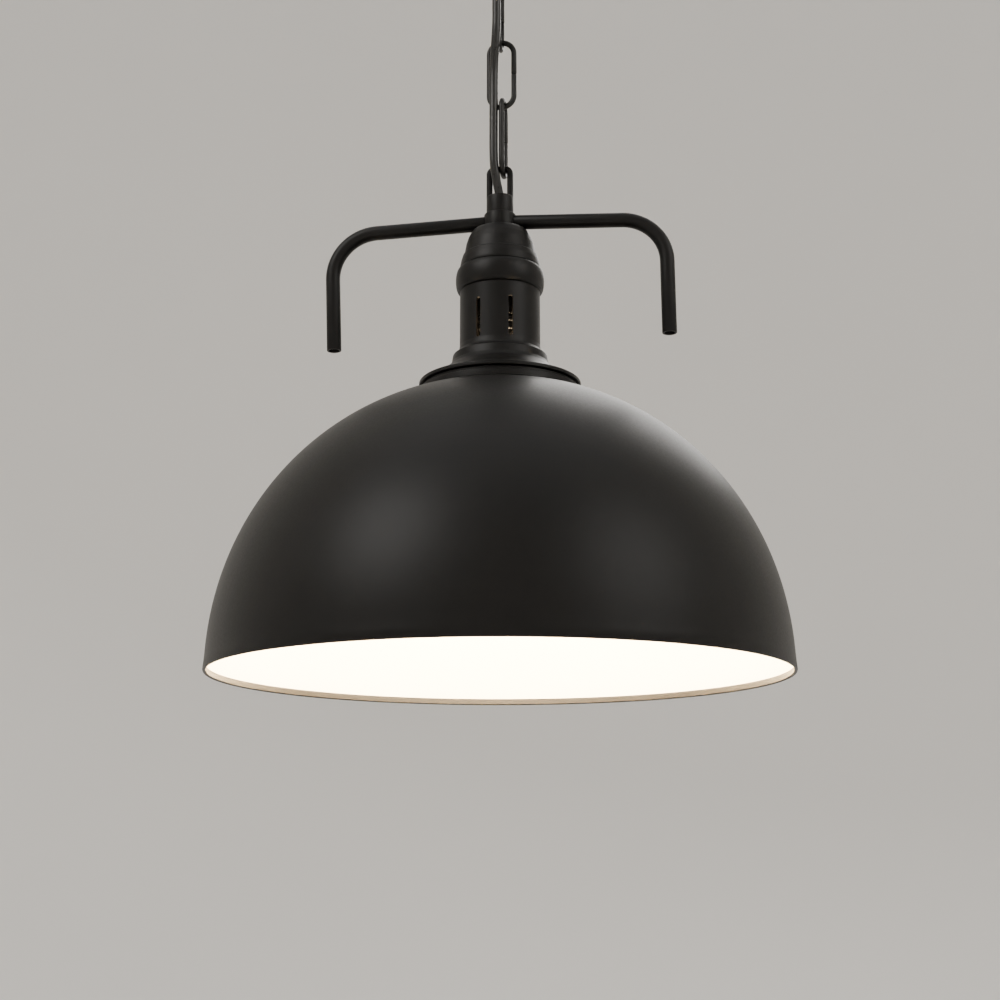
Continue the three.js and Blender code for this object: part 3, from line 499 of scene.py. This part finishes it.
# ------------------------------------------------------------------ hub and side arms
ARM_DIAMETER, ARM_WALL, ARM_BEND, ARM_DROP, ARM_INSET = 9.2, 1.2, 29, 79.1, 3.8
ARM_REACH = {"left": 109.2, "right": 106.5}
ARM_DROOP = {"left": 1.6, "right": 2.2}
LEG_LEAN = {"left": 2.2, "right": -0.4}
HUB_RADIUS = 10.1
hub_low, hub_high = [c.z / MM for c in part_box("arm_hub")]
z_arm = (hub_low + hub_high) / 2
hub = turned("arm_hub_collar", rounded([
    (NIPPLE_HOLE, hub_low), (HUB_RADIUS, hub_low, 0.7), (HUB_RADIUS, hub_high, 0.7),
    (NIPPLE_HOLE, hub_high),
]), 96)
carve(hub, [swept("socket", [Vector((s * (HUB_RADIUS - ARM_INSET - GAP), 0, z_arm)),
                             Vector((s * 2 * HUB_RADIUS, 0, z_arm))],
                  disc(ARM_DIAMETER / 2 + GAP / 2, 48))
            for s in (-1, 1)])
finished(hub, PAINT, "lamp", "black_paint", "arm_hub")
for side, s in (("left", -1), ("right", 1)):
    droop = math.radians(ARM_DROOP[side])
    turn = 90 - ARM_DROOP[side] + LEG_LEAN[side]
    start = HUB_RADIUS - ARM_INSET
    bar = ARM_REACH[side] - ARM_BEND - start
    leg = ARM_DROP - ARM_BEND - bar * math.sin(droop)
    path = bent((start, 0), -ARM_DROOP[side], [
        [bar / math.cos(droop), 0], [ARM_BEND * math.radians(turn), -turn], [leg, 0]], 4)
    tube = swept(f"side_arm_{side}", path, disc(ARM_DIAMETER / 2, 40),
                 hollow=disc(ARM_DIAMETER / 2 - ARM_WALL, 40))
    bevelled(tube, 0.35, 50)
    shade(tube, 40)
    finished(move(tube, z=z_arm, turn=180 if s < 0 else 0), PAINT, "lamp", "black_paint",
             f"arm_{side}")

# ------------------------------------------------------------------ cap and vented neck
NECK, NECK_WALL, NECK_HEIGHT = 25.2, 1.6, 77.3
CAP, CAP_TOP, CAP_WALL, CAP_HEIGHT = 25.3, 18, 1.4, 26.4
BEAD, BEAD_HEIGHT = 27.9, 15.2
FLANGE, FLANGE_RIM, FLARE_HEIGHT = 50.3, 2.2, 26.5
SPIGOT = 27.3
SLOT_WIDTH, SLOT_LENGTH, SLOT_TOP, SLOT_ANGLE = 3, 25.8, 25, 23.65
cap_low, cap_top = [c.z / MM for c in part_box("neck_cap")]
skirt = cap_top - CAP_HEIGHT
inner = NECK - NECK_WALL - FIT
turned_cap = turned("neck_cap_spun", rounded([
    (inner - CAP_WALL, cap_low), (inner, cap_low), (inner, skirt), (CAP, skirt, 0.4),
    (CAP, skirt + 1.5, 0.6), (CAP - 0.6, skirt + 5, 2), (CAP - 1.7, skirt + 8.8, 0.5),
    (CAP - 2.6, skirt + 9.4, 0.6), (CAP - 3.9, skirt + 16.5, 4), (CAP - 5.2, skirt + 20.6, 3),
    (CAP_TOP + 0.5, cap_top - 2.6, 2), (CAP_TOP - 0.6, cap_top - 1.1, 1),
    (CAP_TOP - 3, cap_top, 1), (NIPPLE_HOLE, cap_top), (NIPPLE_HOLE, cap_top - CAP_WALL),
    (CAP_TOP - 3.6, cap_top - CAP_WALL),
    (CAP - 5.2 - CAP_WALL, skirt + 19.6, 2), (CAP - 3.9 - CAP_WALL, skirt + 15, 2),
    (inner - CAP_WALL, skirt + 7, 2),
]), 144, sharp=30)
finished(turned_cap, PAINT, "lamp", "black_paint", "neck_cap")

neck_low, neck_top = [c.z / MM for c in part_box("vented_neck")]
flange = neck_top - NECK_HEIGHT
step = flange + FLANGE_RIM
bead = []
for k in range(13):
    a = math.radians(-90 + 15 * k)
    bead.append((NECK + (BEAD - NECK) * math.cos(a) ** 0.8 if abs(k - 6) < 6 else NECK,
                 neck_top - BEAD_HEIGHT / 2 + BEAD_HEIGHT / 2 * math.sin(a)))
neck = turned("vented_neck_casting", rounded([
    (NECK - NECK_WALL, neck_low), (SPIGOT, neck_low, 0.5), (SPIGOT, flange),
    (FLANGE, flange, 0.5), (FLANGE, step, 0.5), (FLANGE - 2.6, step + 1.2, 1.2),
    (FLANGE - 6.5, step + 2.6, 2), (FLANGE - 13, step + 6, 8), (FLANGE - 18.6, step + 10.6, 4),
    (NECK + 5, step + 13, 1.5), (NECK + 4.2, step + 18, 1.5), (NECK + 1.4, step + 19.6, 1),
    (NECK + 0.5, step + 21, 1), (NECK, flange + FLARE_HEIGHT, 3), (NECK, flange + 40),
    *bead, (NECK - NECK_WALL, neck_top),
]), 180, sharp=30)
slot_end, slot_run = SLOT_WIDTH / 2, SLOT_LENGTH / 2 - SLOT_WIDTH / 2
slot_line = [(slot_end * math.cos(math.pi * k / 12),
              up * slot_run + slot_end * math.sin(math.pi * k / 12))
             for up, first in ((1, 0), (-1, 12)) for k in range(first, first + 13)]


def slot_tool(turn):
    """A prism with the slot's outline, from inside the neck's wall to outside it."""
    verts = [Vector((x, y, z)) * MM for y in (-NECK + 8, -NECK - 8) for x, z in slot_line]
    size = len(slot_line)
    faces = [list(range(size)), list(range(size, 2 * size))]
    faces += [[i, (i + 1) % size, size + (i + 1) % size, size + i] for i in range(size)]
    return move(link_mesh("slot", verts, faces), z=neck_top - SLOT_TOP - SLOT_LENGTH / 2,
                turn=turn)


slots = [slot_tool(front + s * SLOT_ANGLE) for front in (0, 180) for s in (-1, 1)]
carve(neck, slots, sharp=30)
finished(neck, PAINT, "lamp", "black_paint", "vented_neck")

# ------------------------------------------------------------------ dome, its lining and rings
DOME, DOME_HEIGHT, FULLNESS = 174.3, 180, 2.05
DOME_FLARE, DOME_FLARE_HEIGHT, DOME_WALL, DOME_HOLE = 0.7, 11, 1.2, 27.8
HEM_WALL, HEM_HEIGHT = 2.2, 4
ENAMEL = 0.25
rim = z_rim / MM


def dome_line(inset, lowest):
    """Points (r, z) up the dome's side, that far inside its outer face, from a height over
    the rim to the hole at its top."""
    a, b, steps = DOME - inset, DOME_HEIGHT - inset, 56
    first = math.asin((lowest / b) ** (FULLNESS / 2))
    last = math.acos((DOME_HOLE / a) ** (FULLNESS / 2))
    points = []
    for k in range(steps + 1):
        t = first + (last - first) * k / steps
        r, z = a * math.cos(t) ** (2 / FULLNESS), b * math.sin(t) ** (2 / FULLNESS)
        r += DOME_FLARE * max(0, 1 - z / DOME_FLARE_HEIGHT) ** 2
        points.append((r, rim + z))
    return points


steel = DOME_WALL - ENAMEL
outside, inside = dome_line(0, 1), dome_line(steel, HEM_HEIGHT)
mouth = DOME + DOME_FLARE
hem = [(mouth - HEM_WALL, rim + HEM_HEIGHT - 0.6), (mouth - HEM_WALL, rim + 0.7),
       (mouth - HEM_WALL + 0.5, rim + 0.15), (mouth - HEM_WALL / 2, rim),
       (mouth - 0.5, rim + 0.15)]
dome = turned("dome_skin", outside + inside[::-1] + hem, 256, sharp=40)
finished(dome, PAINT, "lamp", "black_paint", "dome_shade")
LINING_GAP, LINING_EDGE = 0.01, HEM_HEIGHT + 0.3
over, under = dome_line(steel + LINING_GAP, LINING_EDGE), dome_line(DOME_WALL, LINING_EDGE)
lining = turned("dome_lining", over + under[::-1], 256, sharp=40)
finished(lining, LINING, "lamp", "white_enamel")


def on_dome(r):
    return rim + DOME_HEIGHT * (1 - (r / DOME) ** FULLNESS) ** (1 / FULLNESS)


SEAT, SEAT_GROOVE = FLANGE - 0.2, 1.6
seat_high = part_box("seat_ring")[1].z / MM
bed = [(r, on_dome(r) + GAP)
       for r in (SEAT - k * (SEAT - SPIGOT - FIT) / 10 for k in range(11))]
seat = turned("seat_collar", rounded([
    *bed, (SPIGOT + FIT, seat_high), (SEAT - SEAT_GROOVE, seat_high, 0.4),
    (SEAT - SEAT_GROOVE, seat_high - 1.8), (SEAT, seat_high - 2.4, 0.4),
]), 160)
finished(seat, PAINT, "lamp", "black_paint", "seat_ring")

RING_NUT, RING_NUT_HEIGHT = 38, 6.5
NOTCH_LENGTH, NOTCH_WIDTH = 6, 5
nut_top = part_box("ring_nut")[1].z / MM
nut = turned("ring_nut_turned", rounded([
    (SPIGOT + FIT, nut_top - RING_NUT_HEIGHT, 0.5), (RING_NUT, nut_top - RING_NUT_HEIGHT, 0.8),
    (RING_NUT, nut_top, 0.4), (SPIGOT + FIT, nut_top, 0.4),
]), 128)
carve(nut, [move(cube(NOTCH_LENGTH, NOTCH_WIDTH, RING_NUT_HEIGHT + 2,
                      (RING_NUT, 0, nut_top - RING_NUT_HEIGHT / 2)), turn=45 + 90 * k)
            for k in range(4)])
finished(nut, PAINT, "lamp", "black_paint", "ring_nut")

# ------------------------------------------------------------------ lamp holder and bulb
HOLDER, HOLDER_TOP = 20, 20.4
SHELL, SHELL_SHEET, SHELL_LENGTH = 14, 0.15, 26
GROOVES, GROOVE_PITCH, GROOVE_DEPTH, GROOVE_START = 4, 5, 0.5, 8
body_low, body_high = [c.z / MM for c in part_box("holder_body")]
shelf = body_low + SHELL_LENGTH + 2
grooves = []
for k in range(GROOVES):
    z = body_low + GROOVE_START + GROOVE_PITCH * k
    grooves += [(HOLDER, z, 0.3), (HOLDER - GROOVE_DEPTH, z + 0.5, 0.3),
                (HOLDER - GROOVE_DEPTH, z + 1.3, 0.3), (HOLDER, z + 1.8, 0.3)]
finished(turned("holder_ceramic", rounded([
    (0, shelf), (SHELL + FIT, shelf), (SHELL + FIT, body_low, 0.6), (HOLDER, body_low, 1),
    *grooves, (HOLDER, body_high, 0.6), (0, body_high),
]), 96, sharp=30), CERAMIC, "lamp", "holder_ceramic", "holder_body")
cover_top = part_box("holder_cover")[1].z / MM
cover_low = cover_top - HOLDER_TOP
finished(turned("holder_cover_ceramic", rounded([
    (NIPPLE_HOLE, cover_top), (NIPPLE_HOLE, cover_top - 7), (HOLDER - 4, cover_top - 7.5, 2),
    (HOLDER - 2, cover_top - 11, 2), (HOLDER - 2, cover_low), (HOLDER, cover_low, 0.5),
    (HOLDER, cover_top - 8, 2), (HOLDER - 4, cover_top - 4, 3), (9, cover_top - 2.5, 1),
    (8, cover_top, 0.6),
]), 96), CERAMIC, "lamp", "holder_ceramic", "holder_cover")

shell_low, shell_high = [c.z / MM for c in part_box("holder_shell")]
finished(turned("holder_shell_rolled", [
    (SHELL, shell_low), (SHELL, shell_high), (SHELL - SHELL_SHEET, shell_high),
    (SHELL - SHELL_SHEET, shell_low),
], 72, sharp=60), BRASS, "lamp", "contact_brass", "holder_shell")

THREAD_PITCH, THREAD_DEPTH = 3.62, 0.55


def threaded(low, high):
    """Radius of a rolled screw thread that fades out at its two ends."""
    def radius(r, z, a):
        fade = min(1, max(0, (z - low) / 2), max(0, (high - z) / 2))
        wave = 0.5 + 0.5 * math.cos(2 * math.pi * z / THREAD_PITCH - a)
        return r - fade * THREAD_DEPTH * wave
    return radius


def column(r, low, high, count):
    return [(r, low + (high - low) * k / count) for k in range(count + 1)]


BULB_CAP, CAP_SHEET, CAP_CONE = 13, 0.75, 4
BULB, BULB_GLASS = 30, 1
bulb_cap_low, bulb_cap_high = [c.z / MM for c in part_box("bulb_cap")]
cone_low = bulb_cap_high - CAP_CONE
wound = threaded(bulb_cap_low + 3, cone_low)
finished(turned("bulb_cap_rolled", [
    (0, bulb_cap_high), (8.5, bulb_cap_high), (BULB_CAP, cone_low),
    *column(BULB_CAP, cone_low - 0.4, bulb_cap_low, 72),
    *column(BULB_CAP - CAP_SHEET, bulb_cap_low, cone_low - 0.6, 72), (0, cone_low - 0.6),
], 96, sharp=60, thread=lambda r, z, a: wound(r, z, a) if r > BULB_CAP - 1 else r),
    NICKEL, "bulb", "bulb_metal", "bulb_cap")
glass_low, glass_high = [c.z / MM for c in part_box("bulb_glass")]
SHOULDER = 30                   # degrees above the ball's middle where its neck starts
SHOULDER_PULL, NECK_PULL = 26, 20


def glass_line(inset):
    """The bulb's outline from its lowest point up to its top, that far inside its surface."""
    ball, centre = BULB - inset, glass_low + BULB
    points = [(ball * math.cos(a), centre + ball * math.sin(a))
              for a in (math.radians(-90 + 4 * k) for k in range((SHOULDER + 90) // 4 + 1))]
    shoulder = Vector(points[-1])
    neck_start = Vector((BULB_CAP - 1 - FIT - inset, glass_high - 8))
    slope = math.radians(SHOULDER + 90)
    # from the ball's tangent to the straight neck
    steps = 14
    for k in range(1, steps + 1):
        s = k / steps
        low = shoulder + Vector((math.cos(slope), math.sin(slope))) * (SHOULDER_PULL * s)
        high = neck_start - Vector((0, 1)) * (NECK_PULL * (1 - s))
        w = s * s * (3 - 2 * s)
        at = low * (1 - w) + high * w
        points.append((max(at.x, neck_start.x), at.y))
    return [(max(r, 0), z) for r, z in points] + [(neck_start.x, glass_high)]


globe = turned("bulb_globe", glass_line(0) + glass_line(BULB_GLASS)[::-1], 128, sharp=50)
finished(globe, OPAL, "bulb", "bulb_glass", "bulb_glass")
# the light inside it has to reach the shade
globe.visible_shadow = False

# ------------------------------------------------------------------ carried-over CAD nodes
CARRIED = {
    "rose_nipple": ZINC, "rose_washer": ZINC, "stem_nipple": ZINC, "lock_washer": ZINC,
    "lock_nut": ZINC, "centre_contact": BRASS, "bulb_tip": BRASS,
    **{f"rose_core_{pole}": CORES[pole] for pole in CORES},
    **{f"holder_core_{pole}": CORES[pole] for pole in CORES},
    **{f"holder_screw_{pole}": BRASS for pole in CORES},
}
for node, finish in CARRIED.items():
    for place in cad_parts[node].material_slots:
        place.material = finish

# ------------------------------------------------------------------ studio
PALE = material("studio_wall", (0.80, 0.785, 0.76), 0.85, drift=0.02, drift_scale=0.4,
                grain=30, bump=0.02, depth=0.2)
FLOOR_DROP, ROOM, COVE, WALL_TOP = 1.0, 6.0, 2.5, 12.0
ROOM_SIDES = 96
floor_z = z_rim - FLOOR_DROP
room_line = [(0, floor_z), (ROOM - COVE, floor_z)]
room_line += [(ROOM - COVE + COVE * math.sin(a), floor_z + COVE - COVE * math.cos(a))
              for a in (math.radians(6 * k) for k in range(1, 16))]
room_line += [(ROOM, floor_z + WALL_TOP)]
room_verts = [(x, y, z) for r, z in room_line[1:] for x, y in disc(r, ROOM_SIDES)]
room_verts.append((0, 0, floor_z))
room_faces = [[len(room_verts) - 1, i, (i + 1) % ROOM_SIDES] for i in range(ROOM_SIDES)]
for k in range(len(room_line) - 2):
    low, high = k * ROOM_SIDES, (k + 1) * ROOM_SIDES
    for i in range(ROOM_SIDES):
        j = (i + 1) % ROOM_SIDES
        room_faces.append([low + i, low + j, high + j, high + i])
room = link_mesh("studio", room_verts, room_faces)
room.data.materials.append(PALE)

world = bpy.data.worlds.new("world")
bpy.context.scene.world = world
world.use_nodes = True
world.node_tree.nodes["Background"].inputs["Color"].default_value = (1, 0.985, 0.96, 1)
world.node_tree.nodes["Background"].inputs["Strength"].default_value = 1.0


SOFTBOX_SIZE, SOFTBOX_COLOUR = 2.6, (1, 0.98, 0.95)


def softbox(name, place, power):
    """A round soft light that points at the middle of the object."""
    lamp = bpy.data.lights.new(name, "AREA")
    lamp.shape, lamp.size = "DISK", SOFTBOX_SIZE
    lamp.energy, lamp.color = power, SOFTBOX_COLOUR
    obj = bpy.data.objects.new(name, lamp)
    bpy.context.scene.collection.objects.link(obj)
    obj.location = place
    aim = Vector((0, 0, -0.3)) - Vector(place)
    obj.rotation_euler = aim.to_track_quat("-Z", "Y").to_euler()


softbox("key", (-2.4, -2.6, 2.6), 90)
softbox("fill", (3.2, -1.6, 1.6), 45)
softbox("back", (0.6, 3.4, 2.4), 70)

glow = bpy.data.lights.new("bulb_light", "POINT")
glow.energy, glow.color, glow.shadow_soft_size = 45, (1, 0.77, 0.5), 0.02
bulb_light = bpy.data.objects.new("bulb_light", glow)
bpy.context.scene.collection.objects.link(bulb_light)
bulb_light.location = (0, 0, (glass_low + BULB) * MM)
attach(bulb_light, "bulb")
